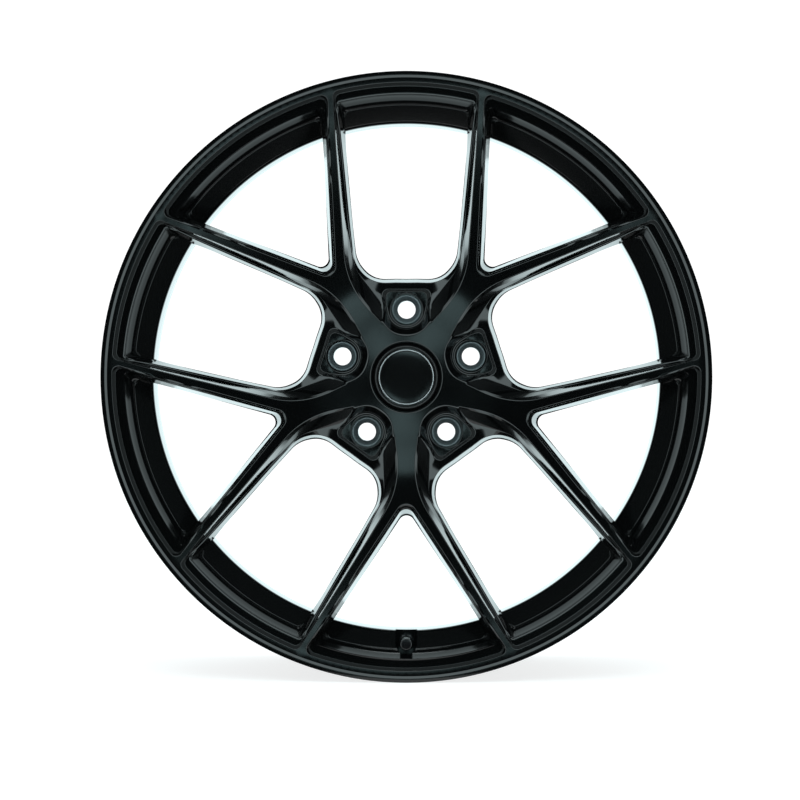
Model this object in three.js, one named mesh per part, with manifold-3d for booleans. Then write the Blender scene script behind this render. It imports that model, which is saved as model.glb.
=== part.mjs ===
// Forged monoblock racing wheel, 18 x 8.5 J, 5 x 112, with its centre cap and tyre valve.
//
// Millimetres, +Z up. The wheel's axis is Y and its face looks towards -Y. The origin lies on the
// axis, midway between the two rim lips. Depths are measured back from the plane of the front lip.
import * as THREE from 'three';
import { mergeVertices } from 'three/addons/utils/BufferGeometryUtils.js';
import Module from 'manifold-3d';

// Driving dimensions
const RIM_WIDTH = 240;          // over both lips; 8.5 inches between the flanges
const FLANGE_R = 248.5;         // top of the flanges
const FLANGE_THICK = 12;        // lip to the bead face
const BEAD_R = 231;             // nominal 18 inch bead seat
const WELL_R = 213.7;           // bottom of the drop centre, tyre side
const WELL_INNER_R = 208.5;
const PAD_DEPTH = 75;           // hub pad: offset 45 from the middle of the rim
const PAD_R = 75;
const HUB_R = 79;               // hub disc, where the spokes start
const CENTRE_BORE_R = 36.55;
const HUB_SPIGOT_R = 33.3;      // bore of the centring ring
const LUG_COUNT = 5;
const LUG_CIRCLE_R = 56;
const LUG_SEAT_DEPTH = 46;
const LUG_HOLE_R = 7.4;
const VALVE_R = 218.3;          // valve axis to wheel axis
const VALVE_FLOOR = 40;         // spotface depth
const VALVE_HOLE_R = 4.3;
const GAP = 0.3;                // clearance between pieces that touch

const WHEEL_SEGMENTS = 60;
const STEP = (2 * Math.PI) / LUG_COUNT;

const wasm = await Module();
wasm.setup();

const wheel = new THREE.Group();

const material = (color, roughness, metalness) =>
  new THREE.MeshStandardMaterial({ color, roughness, metalness });
const PAINT = material(0x0b0d0d, 0.38, 0.3);
const SEAT_METAL = material(0x50595c, 0.35, 0.9);
const CAP_PLASTIC = material(0x060606, 0.12, 0.0);
const SILVER = material(0xc9cccd, 0.2, 1.0);
const SPRING_STEEL = material(0x8f9496, 0.3, 1.0);
const NYLON = material(0x1b1c1e, 0.6, 0.0);
const ANODISED = material(0x101112, 0.3, 0.8);
const RUBBER = material(0x141414, 0.8, 0.0);
const BRASS = material(0xb08d4a, 0.3, 1.0);

function add(name, geometry, finish) {
  const mesh = new THREE.Mesh(geometry, finish);
  mesh.name = name;
  wheel.add(mesh);
  return mesh;
}

// A ring or a cup: [radius, depth] points of one closed outline, turned about the Y axis.
function turned(profile, segments) {
  const points = profile.map(([r, depth]) => new THREE.Vector2(r, depth - RIM_WIDTH / 2));
  if (THREE.ShapeUtils.area(points) < 0) points.reverse();
  const onAxis = points.findIndex((p, i) => p.x === 0 && points[(i + 1) % points.length].x === 0);
  if (onAxis < 0) return new THREE.LatheGeometry([...points, points[0].clone()], segments);
  const start = (onAxis + 1) % points.length;
  return new THREE.LatheGeometry([...points.slice(start), ...points.slice(0, start)], segments);
}

// The same about the valve's axis, which is parallel to the wheel's.
function turnedValve(profile, segments) {
  return turned(profile, segments).translate(0, 0, -VALVE_R);
}

// A prism along Y between two depths, from a shape drawn as seen from the front: x right, y up.
function prism(shape, front, back, curveSegments = 4) {
  const settings = { depth: back - front, bevelEnabled: false, curveSegments };
  const geometry = new THREE.ExtrudeGeometry(shape, settings);
  return geometry.rotateX(Math.PI / 2).translate(0, back - RIM_WIDTH / 2, 0);
}

function disc(x, y, r) {
  return new THREE.Shape().absarc(x, y, r, 0, 2 * Math.PI);
}

function solid(geometry) {
  const bare = geometry.clone();
  bare.deleteAttribute('normal');
  bare.deleteAttribute('uv');
  const merged = mergeVertices(bare, 1e-4);
  return new wasm.Manifold(
    new wasm.Mesh({
      numProp: 3,
      vertProperties: new Float32Array(merged.attributes.position.array),
      triVerts: new Uint32Array(merged.index.array),
    }),
  );
}

function geometryOf(manifold) {
  const mesh = manifold.getMesh();
  const geometry = new THREE.BufferGeometry();
  geometry.setAttribute('position', new THREE.BufferAttribute(mesh.vertProperties, 3));
  geometry.setIndex(new THREE.BufferAttribute(mesh.triVerts, 1));
  return geometry;
}

// A closed outline whose corners are rounded: [x, y, radius] for each corner.
function roundedShape(corners) {
  const shape = new THREE.Shape();
  corners.forEach(([x, y, radius], i) => {
    const here = new THREE.Vector2(x, y);
    const before = new THREE.Vector2(...corners.at(i - 1)).sub(here);
    const after = new THREE.Vector2(...corners[(i + 1) % corners.length]).sub(here);
    const half = Math.acos(before.clone().normalize().dot(after.clone().normalize())) / 2;
    const reach = radius / Math.tan(half);
    const start = here.clone().addScaledVector(before.normalize(), reach);
    const end = here.clone().addScaledVector(after.normalize(), reach);
    if (i === 0) shape.moveTo(start.x, start.y);
    else shape.lineTo(start.x, start.y);
    if (radius > 0) shape.quadraticCurveTo(x, y, end.x, end.y);
  });
  shape.closePath();
  return shape;
}

// Wheel body. The real wheel is one forging; its flanges, barrel, hub and spokes are separate
// solids here, a hair apart.

// Outboard flange, as the face shows it: lip, then the pocket floor. The tyre's bead lies against
// the flat on its back, outside the radius where the barrel starts.
const BEAD_FACE_R = 236.7;
const OUTBOARD_FLANGE = [
  [FLANGE_R, 1.5],
  [247.3, 0],
  [244.6, 0],
  [243.4, 1.2],
  [239.2, 1.9],
  [237.2, 7.5],
  [229.4, 7.9],
  [228.0, 9.2],
  [227.1, FLANGE_THICK - GAP],
  [BEAD_FACE_R, FLANGE_THICK - GAP],
  [BEAD_FACE_R, FLANGE_THICK],
  [246.8, FLANGE_THICK],
  [FLANGE_R, 10.5],
];
const INBOARD_FLANGE = [
  [FLANGE_R, 229.5],
  [246.8, RIM_WIDTH - FLANGE_THICK],
  [BEAD_FACE_R, RIM_WIDTH - FLANGE_THICK],
  [BEAD_FACE_R, RIM_WIDTH - FLANGE_THICK + GAP],
  [224.3, RIM_WIDTH - FLANGE_THICK + GAP],
  [224.3, 234],
  [229, 236.5],
  [240.5, 237.5],
  [243.6, RIM_WIDTH],
  [247.3, RIM_WIDTH],
  [FLANGE_R, 238.5],
];
// Barrel between them. Inside: ledge, a small step, wall of the well, well, rear barrel.
const BARREL_INSIDE = [
  [227.0, FLANGE_THICK],
  [222.8, 18.2],
  [222.2, 20.2],
  [210.2, 31.8],
  [WELL_INNER_R, 34.2],
  [WELL_INNER_R, 68],
  [217.4, 112],
  [221.6, 196],
  [224, 206],
  [224.3, RIM_WIDTH - FLANGE_THICK],
];
// Tyre side, from the rear: bead seat, hump, barrel, well, hump and bead seat.
const BARREL_TYRE_SIDE = [
  [236.4, RIM_WIDTH - FLANGE_THICK],
  [233.2, 226.5],
  [BEAD_R - 0.5, 222.5],
  [229.4, 208],
  [231.0, 204.5],
  [229.4, 200.5],
  [226.4, 190],
  [221.6, 112],
  [WELL_R, 76],
  [WELL_R, 54],
  [228.6, 39.8],
  [230.8, 35.5],
  [229.3, 32],
  [BEAD_R - 0.5, 17.5],
  [233.2, 13.5],
  [236.4, FLANGE_THICK],
];

add('outboard_flange', turned(OUTBOARD_FLANGE, WHEEL_SEGMENTS), PAINT);
add('inboard_flange', turned(INBOARD_FLANGE, WHEEL_SEGMENTS), PAINT);

const VALVE_BOSS_R = 8.6;
const VALVE_POCKET_R = 6.9;
const SPOTFACE_R = 8.9;
// The spotface runs out inwards, over the edge of the well.
const SPOTFACE_SLOT = new THREE.Shape([
  new THREE.Vector2(-SPOTFACE_R, -VALVE_R),
  new THREE.Vector2(SPOTFACE_R, -VALVE_R),
  new THREE.Vector2(SPOTFACE_R, 10 - WELL_INNER_R),
  new THREE.Vector2(-SPOTFACE_R, 10 - WELL_INNER_R),
]);
const VALVE_POCKET_FLOOR = VALVE_FLOOR + 8;

function rimBarrel() {
  const about = (r) => disc(0, -VALVE_R, r);
  const ring = solid(turned([...BARREL_INSIDE, ...BARREL_TYRE_SIDE], WHEEL_SEGMENTS));
  const boss = solid(prism(about(VALVE_BOSS_R), VALVE_FLOOR - 1, VALVE_POCKET_FLOOR, 10));
  const spotface = solid(prism(about(SPOTFACE_R), 0, VALVE_FLOOR, 10));
  const slot = solid(prism(SPOTFACE_SLOT, 0, VALVE_FLOOR));
  const pocket = solid(prism(about(VALVE_POCKET_R), VALVE_POCKET_FLOOR, 62, 10));
  const hole = solid(prism(about(VALVE_HOLE_R), 20, 62, 8));
  return geometryOf(ring.add(boss).subtract(spotface.add(slot)).subtract(pocket).subtract(hole));
}
add('rim_barrel', rimBarrel(), PAINT);

// Windows between the spokes, drawn with the window's own axis pointing up.
const WIDE_WINDOW = roundedShape([
  [-41.7, 79.2, 14],
  [41.7, 79.2, 14],
  [56.6, 250, 0],
  [-56.6, 250, 0],
]);
const VEE_WINDOW = roundedShape([
  [0, 107.3, 3.5],
  [94.8, 250, 0],
  [-94.8, 250, 0],
]);
// The scoop round each lug hole, open towards the wide window.
const SCOOP = roundedShape([
  [-22.3, 38, 16],
  [22.3, 38, 16],
  [24.5, 52, 0],
  [45, 84, 0],
  [49, 100, 0],
  [-49, 100, 0],
  [-45, 84, 0],
  [-24.5, 52, 0],
]);
const SCOOP_DEPTH = 37;

const FACE_AT_HUB = 27;

// One spoke: its trunk leaves the hub at the top and forks into two arms.
const SPOKE_SECTION = [
  [HUB_R + GAP, 25.2],
  [130, 17.5],
  [190, 8.6],
  [236.7, 2.8],
  [236.7, 7.2],
  [229.2, 7.6],
  [227.6, 9.2],
  [226.6, FLANGE_THICK],
  [222.45, 18.1],
  [221.85, 20],
  [209.9, 31.5],
  [208.15, 34],
  [208.1, 42],
  [150, 45],
  [100, 53],
  [HUB_R + GAP, 62],
];

function turnShape(geometry, angle) {
  return geometry.rotateY(angle);
}

function spoke() {
  const reach = 260;
  const half = reach * Math.tan(STEP / 2);
  const sector = new THREE.Shape([
    new THREE.Vector2(0, 0),
    new THREE.Vector2(half, reach),
    new THREE.Vector2(-half, reach),
  ]);
  let body = solid(turned(SPOKE_SECTION, WHEEL_SEGMENTS)).intersect(solid(prism(sector, -5, 90)));
  body = body.subtract(solid(prism(VEE_WINDOW, -5, 90)));
  for (const side of [-STEP / 2, STEP / 2]) {
    body = body.subtract(solid(turnShape(prism(WIDE_WINDOW, -5, 90), side)));
    body = body.subtract(solid(turnShape(prism(SCOOP, -5, SCOOP_DEPTH), side)));
  }
  return geometryOf(body);
}

const SPOKE = spoke();
for (let i = 0; i < LUG_COUNT; i += 1) {
  const mesh = add(`spoke_${i + 1}`, SPOKE, PAINT);
  mesh.rotation.y = STEP * (i + 0.5);
}

// Hub: face, cap bore, centre bore and hub pad, with five lug holes.
const CAP_RECESS_R = 29.2;
const CAP_BORE_R = 27.2;
const CAP_SHOULDER = 31.4;
const LUG_POCKET_R = 16.4;
const LUG_POCKET_FLOOR = 44;
const INSERT_R = 12;
const INSERT_BACK = 60;

const HUB_SECTION = [
  [CAP_RECESS_R, FACE_AT_HUB + 0.6],
  [CAP_RECESS_R + 0.7, FACE_AT_HUB],
  [50, FACE_AT_HUB],
  [HUB_R, 25.2],
  [HUB_R, 62],
  [PAD_R, 70],
  [PAD_R, PAD_DEPTH],
  [CENTRE_BORE_R + 1, PAD_DEPTH],
  [CENTRE_BORE_R, PAD_DEPTH - 1],
  [CENTRE_BORE_R, 52],
  [CAP_BORE_R, 47.5],
  [CAP_BORE_R, CAP_SHOULDER],
  [CAP_RECESS_R, CAP_SHOULDER],
];

function hubCenter() {
  let body = solid(turned(HUB_SECTION, WHEEL_SEGMENTS));
  for (let i = 0; i < LUG_COUNT; i += 1) {
    const cuts = [
      prism(SCOOP, 0, SCOOP_DEPTH),
      prism(disc(0, LUG_CIRCLE_R, LUG_POCKET_R), 0, LUG_POCKET_FLOOR, 10),
      prism(disc(0, LUG_CIRCLE_R, INSERT_R + GAP), 0, INSERT_BACK + GAP, 8),
      prism(disc(0, LUG_CIRCLE_R, LUG_HOLE_R), 0, 100, 8),
    ];
    for (const cut of cuts) body = body.subtract(solid(turnShape(cut, STEP * i)));
  }
  return geometryOf(body);
}
add('hub_center', hubCenter(), PAINT);

// Lug seats: 60 degree cones on inserts pressed into the hub.
const SEAT_MOUTH_R = 11.1;
const SEAT_CONE = (SEAT_MOUTH_R - LUG_HOLE_R) / Math.tan(Math.PI / 6);
const LUG_SEAT = turned(
  [
    [SEAT_MOUTH_R, LUG_SEAT_DEPTH],
    [INSERT_R, LUG_SEAT_DEPTH],
    [INSERT_R, INSERT_BACK],
    [LUG_HOLE_R, INSERT_BACK],
    [LUG_HOLE_R, LUG_SEAT_DEPTH + SEAT_CONE],
  ],
  24,
);
for (let i = 0; i < LUG_COUNT; i += 1) {
  const angle = STEP * i;
  const mesh = add(`lug_seat_${i + 1}`, LUG_SEAT, SEAT_METAL);
  mesh.position.set(LUG_CIRCLE_R * Math.sin(angle), 0, LUG_CIRCLE_R * Math.cos(angle));
}

// Centring ring, pushed into the centre bore from behind.
const HUB_RING = [
  [HUB_SPIGOT_R, 62],
  [HUB_SPIGOT_R, PAD_DEPTH - 0.8],
  [HUB_SPIGOT_R + 0.8, PAD_DEPTH],
  [CENTRE_BORE_R - GAP - 0.6, PAD_DEPTH],
  [CENTRE_BORE_R - GAP, PAD_DEPTH - 0.6],
  [CENTRE_BORE_R - GAP, 62],
];
add('hub_centring_ring', turned(HUB_RING, WHEEL_SEGMENTS), NYLON);

// Centre cap: a cup with a clipped skirt, a domed disc let into its face, a bright ring and a wire
// that keeps the skirt pressed outwards.
const CAP_R = 28.5;
const DISC_R = 24.6;
const TRIM_OUTER_R = 22.8;
const TRIM_INNER_R = 21.6;

add('cap_body', turned(
  [
    [0, 28.7],
    [DISC_R + GAP, 28.7],
    [DISC_R + GAP, 27.1],
    [DISC_R + 0.8, 26.9],
    [CAP_R, 29.6],
    [CAP_R, 31],
    [26.6, 31],
    [26.6, 38],
    [27.1, 40.5],
    [25.6, 44],
    [24.3, 44],
    [24.3, 31.2],
    [0, 31.2],
  ],
  40,
), CAP_PLASTIC);

add('cap_emblem', turned(
  [
    [0, 26.3],
    [TRIM_INNER_R - GAP, 26.8],
    [TRIM_INNER_R - GAP, 27.6],
    [TRIM_OUTER_R + GAP, 27.6],
    [TRIM_OUTER_R + GAP, 26.9],
    [DISC_R, 27.0],
    [DISC_R, 28.4],
    [0, 28.4],
  ],
  40,
), CAP_PLASTIC);

add('cap_trim_ring', turned(
  [
    [TRIM_INNER_R, 26.6],
    [TRIM_OUTER_R, 26.6],
    [TRIM_OUTER_R, 27.3],
    [TRIM_INNER_R, 27.3],
  ],
  40,
), SILVER);

class Arc extends THREE.Curve {
  constructor(radius, depth, from, to) {
    super();
    Object.assign(this, { radius, depth, from, to });
  }

  getPoint(t, target = new THREE.Vector3()) {
    const angle = this.from + t * (this.to - this.from);
    const across = this.radius * Math.cos(angle);
    const up = this.radius * Math.sin(angle);
    return target.set(across, this.depth - RIM_WIDTH / 2, up);
  }
}

function wire(path, radius, steps, sides) {
  const section = new THREE.Shape();
  for (let i = 0; i < sides; i += 1) {
    const angle = (2 * Math.PI * i) / sides;
    const point = [radius * Math.cos(angle), radius * Math.sin(angle)];
    if (i === 0) section.moveTo(...point);
    else section.lineTo(...point);
  }
  section.closePath();
  return new THREE.ExtrudeGeometry(section, { steps, extrudePath: path, bevelEnabled: false });
}

const CAP_WIRE_R = 0.8;
const CAP_WIRE_RING_R = 23.1;
const capWire = new Arc(CAP_WIRE_RING_R, 41, -1.4, 4.4);
add('cap_spring_ring', wire(capWire, CAP_WIRE_R, 36, 8), SPRING_STEEL);

// Tyre valve, clamped through the rim. Its stem's flange and seal are on the tyre side.
const STEM_R = 3.95;
const STEM_TIP = 14;
const STEM_FLANGE_R = 6.1;
const CORE_BORE_R = 2.7;
const SEAL_FRONT = VALVE_POCKET_FLOOR + GAP;
const SEAL_BACK = SEAL_FRONT + 2.3;

add('valve_stem', turnedValve(
  [
    [CORE_BORE_R, STEM_TIP],
    [STEM_R - 0.5, STEM_TIP],
    [STEM_R, STEM_TIP + 0.8],
    [STEM_R, SEAL_BACK + GAP],
    [STEM_FLANGE_R, SEAL_BACK + GAP],
    [STEM_FLANGE_R, SEAL_BACK + 2.1],
    [STEM_R, SEAL_BACK + 3],
    [1.6, SEAL_BACK + 3],
    [1.6, 31],
    [CORE_BORE_R, 29.5],
  ],
  24,
), ANODISED);

add('valve_grommet', turnedValve(
  [
    [STEM_R + GAP, SEAL_FRONT],
    [6.5, SEAL_FRONT],
    [6.5, SEAL_BACK],
    [STEM_R + GAP, SEAL_BACK],
  ],
  24,
), RUBBER);

const WASHER_BACK = VALVE_FLOOR - GAP;
const WASHER_FRONT = WASHER_BACK - 1;
add('valve_washer', turnedValve(
  [
    [STEM_R + GAP, WASHER_FRONT],
    [6.6, WASHER_FRONT],
    [6.6, WASHER_BACK],
    [STEM_R + GAP, WASHER_BACK],
  ],
  24,
), ANODISED);

const NUT_CORNER_R = 6.4;
const NUT_BACK = WASHER_FRONT - GAP;
const NUT_HEIGHT = 4;
function valveNut() {
  const hexagon = new THREE.Shape();
  for (let i = 0; i < 6; i += 1) {
    const angle = (Math.PI / 3) * i;
    const point = [NUT_CORNER_R * Math.cos(angle), NUT_CORNER_R * Math.sin(angle)];
    if (i === 0) hexagon.moveTo(...point);
    else hexagon.lineTo(...point);
  }
  hexagon.closePath();
  hexagon.holes.push(new THREE.Path().absarc(0, 0, STEM_R + GAP, 0, 2 * Math.PI, true));
  return prism(hexagon, NUT_BACK - NUT_HEIGHT, NUT_BACK, 12).translate(0, 0, -VALVE_R);
}
add('valve_nut', valveNut(), ANODISED);

// Valve core: a barrel screwed into the stem, a sprung pin through it and its two seals.
const CORE_FRONT = 16;
const CORE_BACK = 26;
const CORE_R = CORE_BORE_R - GAP;
const PIN_R = 0.5;
const SPRING_R = 1.25;
const SPRING_WIRE_R = 0.2;
const SPRING_FRONT = 17.6;
const SPRING_BACK = 23.6;

add('valve_core_barrel', turnedValve(
  [
    [1.8, CORE_FRONT],
    [CORE_R, CORE_FRONT],
    [CORE_R, 21.2],
    [1.95, 21.5],
    [1.95, 24.6],
    [CORE_R, 24.9],
    [CORE_R, CORE_BACK],
    [0.85, CORE_BACK],
    [0.85, 24],
    [1.8, 24],
  ],
  20,
), BRASS);

add('valve_core_pin', turnedValve(
  [
    [0, 14.6],
    [PIN_R, 14.6],
    [PIN_R, 16.6],
    [1.5, 16.6],
    [1.5, 17.2],
    [PIN_R, 17.2],
    [PIN_R, CORE_BACK + GAP],
    [1.7, CORE_BACK + GAP],
    [1.7, CORE_BACK + 1.5],
    [0, CORE_BACK + 1.5],
  ],
  16,
), BRASS);

class Helix extends THREE.Curve {
  constructor(radius, front, back, turns) {
    super();
    Object.assign(this, { radius, front, back, turns });
  }

  getPoint(t, target = new THREE.Vector3()) {
    const angle = 2 * Math.PI * this.turns * t;
    const along = this.front + t * (this.back - this.front) - RIM_WIDTH / 2;
    const up = this.radius * Math.sin(angle) - VALVE_R;
    return target.set(this.radius * Math.cos(angle), along, up);
  }
}
const coreSpring = new Helix(SPRING_R, SPRING_FRONT, SPRING_BACK, 5);
add('valve_core_spring', wire(coreSpring, SPRING_WIRE_R, 60, 5), SPRING_STEEL);

add('valve_core_seal', turnedValve(
  [
    [2.1, 22.2],
    [CORE_R, 22.0],
    [CORE_R, 24.2],
    [2.1, 24.0],
  ],
  20,
), RUBBER);

const CAP_FRONT = 11.6;
const VALVE_CAP_BACK = 23;
add('valve_cap', turnedValve(
  [
    [0, CAP_FRONT],
    [4.2, CAP_FRONT],
    [5, CAP_FRONT + 0.8],
    [5, VALVE_CAP_BACK],
    [STEM_R + GAP, VALVE_CAP_BACK],
    [STEM_R + GAP, CAP_FRONT + 1],
    [0, CAP_FRONT + 1],
  ],
  24,
), ANODISED);

add('valve_cap_seal', turnedValve(
  [
    [1.9, CAP_FRONT + 1 + GAP],
    [3.9, CAP_FRONT + 1 + GAP],
    [3.9, STEM_TIP - GAP],
    [1.9, STEM_TIP - GAP],
  ],
  20,
), RUBBER);

export default wheel;
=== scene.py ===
import math
from itertools import product

import bmesh
import bpy
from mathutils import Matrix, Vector
from mathutils.geometry import delaunay_2d_cdt


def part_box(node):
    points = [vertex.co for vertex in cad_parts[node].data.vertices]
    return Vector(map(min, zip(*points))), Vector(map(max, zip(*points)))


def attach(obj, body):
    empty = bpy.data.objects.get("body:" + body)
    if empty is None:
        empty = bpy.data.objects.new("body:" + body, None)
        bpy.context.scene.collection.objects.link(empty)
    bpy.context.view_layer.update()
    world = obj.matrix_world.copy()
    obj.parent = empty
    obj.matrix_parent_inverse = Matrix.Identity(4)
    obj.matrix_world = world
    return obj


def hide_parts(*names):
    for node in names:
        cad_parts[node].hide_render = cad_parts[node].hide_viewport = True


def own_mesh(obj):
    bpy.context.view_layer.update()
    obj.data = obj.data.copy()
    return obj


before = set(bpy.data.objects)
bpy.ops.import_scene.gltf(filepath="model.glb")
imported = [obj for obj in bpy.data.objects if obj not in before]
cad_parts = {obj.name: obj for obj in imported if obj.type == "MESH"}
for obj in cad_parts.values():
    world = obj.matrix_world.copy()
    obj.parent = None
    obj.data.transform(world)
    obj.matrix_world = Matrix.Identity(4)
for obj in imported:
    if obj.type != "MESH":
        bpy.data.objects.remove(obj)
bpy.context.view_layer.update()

# Millimetres below. Depths run back from the plane of the front lip; x is right and z is up as
# seen from the front. Everything is made in metres in the shared frame.
MM = 0.001
LIP_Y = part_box("outboard_flange")[0].y / MM
LIP_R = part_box("outboard_flange")[1].x / MM
SPOKES = 5
STEP = 2 * math.pi / SPOKES
WEDGE = STEP / 2
LUG_R = 56.0
VALVE_R = 218.3
VALVE_FLOOR = 40.0
SPOTFACE_R = 8.9
SEAT_R = 12.0
WELD_CELLS = 2000
CREASE = math.radians(30)

scene = bpy.context.scene
scene.view_settings.view_transform = "Standard"


def spot(x, z, depth):
    """Millimetres to the shared frame."""
    return (x * MM, (LIP_Y + depth) * MM, z * MM)


def mix(a, b, t):
    return a + (b - a) * t


def curve(a, pull, b, t):
    """A point on the quadratic curve from a to b, drawn towards pull."""
    return a * (1 - t) ** 2 + pull * 2 * t * (1 - t) + b * t * t


def table(points, x):
    """Straight-line lookup in (x, value) pairs."""
    if x <= points[0][0]:
        return points[0][1]
    for (x0, y0), (x1, y1) in zip(points, points[1:]):
        if x <= x1:
            return mix(y0, y1, (x - x0) / (x1 - x0))
    return points[-1][1]


def eased(points, x):
    """Smooth lookup in (x, value) pairs that never overshoots them."""
    if x <= points[0][0]:
        return points[0][1]
    if x >= points[-1][0]:
        return points[-1][1]
    steps = [(b[0] - a[0], (b[1] - a[1]) / (b[0] - a[0])) for a, b in zip(points, points[1:])]
    i = 0
    while x > points[i + 1][0]:
        i += 1

    def slope_at(k):
        if k == 0 or k == len(points) - 1:
            return steps[min(k, len(steps) - 1)][1]
        (w0, s0), (w1, s1) = steps[k - 1], steps[k]
        if s0 * s1 <= 0:
            return 0.0
        return (w0 + w1) * s0 * s1 * 3 / ((2 * w1 + w0) * s1 + (2 * w0 + w1) * s0)

    h = steps[i][0]
    t = (x - points[i][0]) / h
    return ((1 + 2 * t) * (1 - t) ** 2 * points[i][1] + t * (1 - t) ** 2 * h * slope_at(i)
            + t * t * (3 - 2 * t) * points[i + 1][1] - t * t * (1 - t) * h * slope_at(i + 1))


# ---------------------------------------------------------------- outlines

def fillet_points(before, corner, after, radius, count):
    """Points of the arc that rounds a corner, first to last. A negative radius is its reach."""
    p = Vector(corner)
    a = Vector(before) - p
    b = Vector(after) - p
    if radius < 0:
        start, end = p - a.normalized() * radius, p - b.normalized() * radius
        return [curve(start, p, end, i / count) for i in range(count + 1)]
    half = a.angle(b) / 2
    reach = min(radius / math.tan(half), a.length * 0.98, b.length * 0.98)
    radius = reach * math.tan(half)
    start = p + a.normalized() * reach
    end = p + b.normalized() * reach
    centre = p + (a.normalized() + b.normalized()).normalized() * (radius / math.sin(half))
    v0 = start - centre
    v1 = end - centre
    turn = v0.angle_signed(v1)
    out = []
    for i in range(count + 1):
        c, s = math.cos(-turn * i / count), math.sin(-turn * i / count)
        out.append(centre + Vector((v0.x * c - v0.y * s, v0.x * s + v0.y * c)))
    return out


def outline(corners, counts, arc=10, rim=None):
    """Half an outline as (x, z, depth) stations.

    corners are (x, z, radius, depth); counts gives the steps between them. rim is (radius of the
    rim circle, fillet radius, depth, steps in the fillet, steps on the circle): the last side then
    runs into that circle, which goes on to the window's middle.
    """
    flat = [Vector(c[:2]) for c in corners]
    out = [flat[0]]
    last = len(corners) - 1

    def run_to(p, steps):
        start = out[-1]
        for i in range(1, steps + 1):
            out.append(start.lerp(p, i / steps))

    length_at = []

    def mark(depth):
        length_at.append((len(out) - 1, depth))

    mark(corners[0][3])
    for i in range(1, last):
        pts = fillet_points(flat[i - 1], flat[i], flat[i + 1], corners[i][2], arc)
        run_to(pts[0], counts[i - 1])
        for j, p in enumerate(pts[1:], 1):
            out.append(p)
            if j == arc // 2:
                mark(corners[i][3])
    if rim is None:
        run_to(flat[last], counts[last - 1])
        mark(corners[last][3])
    else:
        circle, fillet, depth, fillet_steps, circle_steps = rim
        start = flat[last - 1]
        e = (flat[last] - start).normalized()
        n = Vector((-e.y, e.x))
        if n.x > 0:
            n = -n
        base = start + n * fillet
        b = base.dot(e)
        t = -b + math.sqrt(b * b - base.length_squared + (circle - fillet) ** 2)
        centre = base + e * t
        run_to(centre - n * fillet, counts[last - 1])
        v0 = -n
        v1 = centre.normalized()
        turn = math.atan2(v0.x * v1.y - v0.y * v1.x, v0.dot(v1))
        for i in range(1, fillet_steps + 1):
            c, s = math.cos(turn * i / fillet_steps), math.sin(turn * i / fillet_steps)
            out.append(centre + fillet * Vector((v0.x * c - v0.y * s, v0.x * s + v0.y * c)))
            if i == fillet_steps // 2:
                mark(depth)
        angle = math.atan2(v1.x, v1.y)
        for i in range(1, circle_steps + 1):
            a = angle * (1 - i / circle_steps)
            out.append(Vector((circle * math.sin(a), circle * math.cos(a))))
        mark(depth)
    length = [0.0]
    for p, q in zip(out, out[1:]):
        length.append(length[-1] + (q - p).length)
    depths = [(length[i], d) for i, d in length_at]
    return [(p.x, p.y, eased(depths, s)) for p, s in zip(out, length)]


def blend_corners(a, b, t):
    """Corners a share t of the way from one outline's to another's."""
    return [tuple(mix(p, q, t) for p, q in zip(u, v)) for u, v in zip(a, b)]


def towards(a, b, reach):
    """The point that far from a on the way to b, at most 45% of it."""
    a, b = Vector(a), Vector(b)
    d = b - a
    return a + d * min(reach / max(d.length, 1e-9), 0.45)


def rounded(levels, reach, step_counts):
    """Rings through the levels, with each inner level rounded. reach gives its two reaches."""
    rings = [[Vector(p) for p in levels[0]]]
    for i, steps in enumerate(step_counts, 1):
        lo, hi = reach[i - 1]
        ring = [[] for _ in range(steps + 1)]
        for before, p, after in zip(levels[i - 1], levels[i], levels[i + 1]):
            r0 = lo(p) if callable(lo) else lo
            r1 = hi(p) if callable(hi) else hi
            a, b = towards(p, before, r0), towards(p, after, r1)
            for k in range(steps + 1):
                ring[k].append(curve(a, Vector(p), b, k / steps))
        rings.extend(ring)
    rings.append([Vector(p) for p in levels[-1]])
    return rings


# ---------------------------------------------------------------- mesh soup, welded at the end

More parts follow.
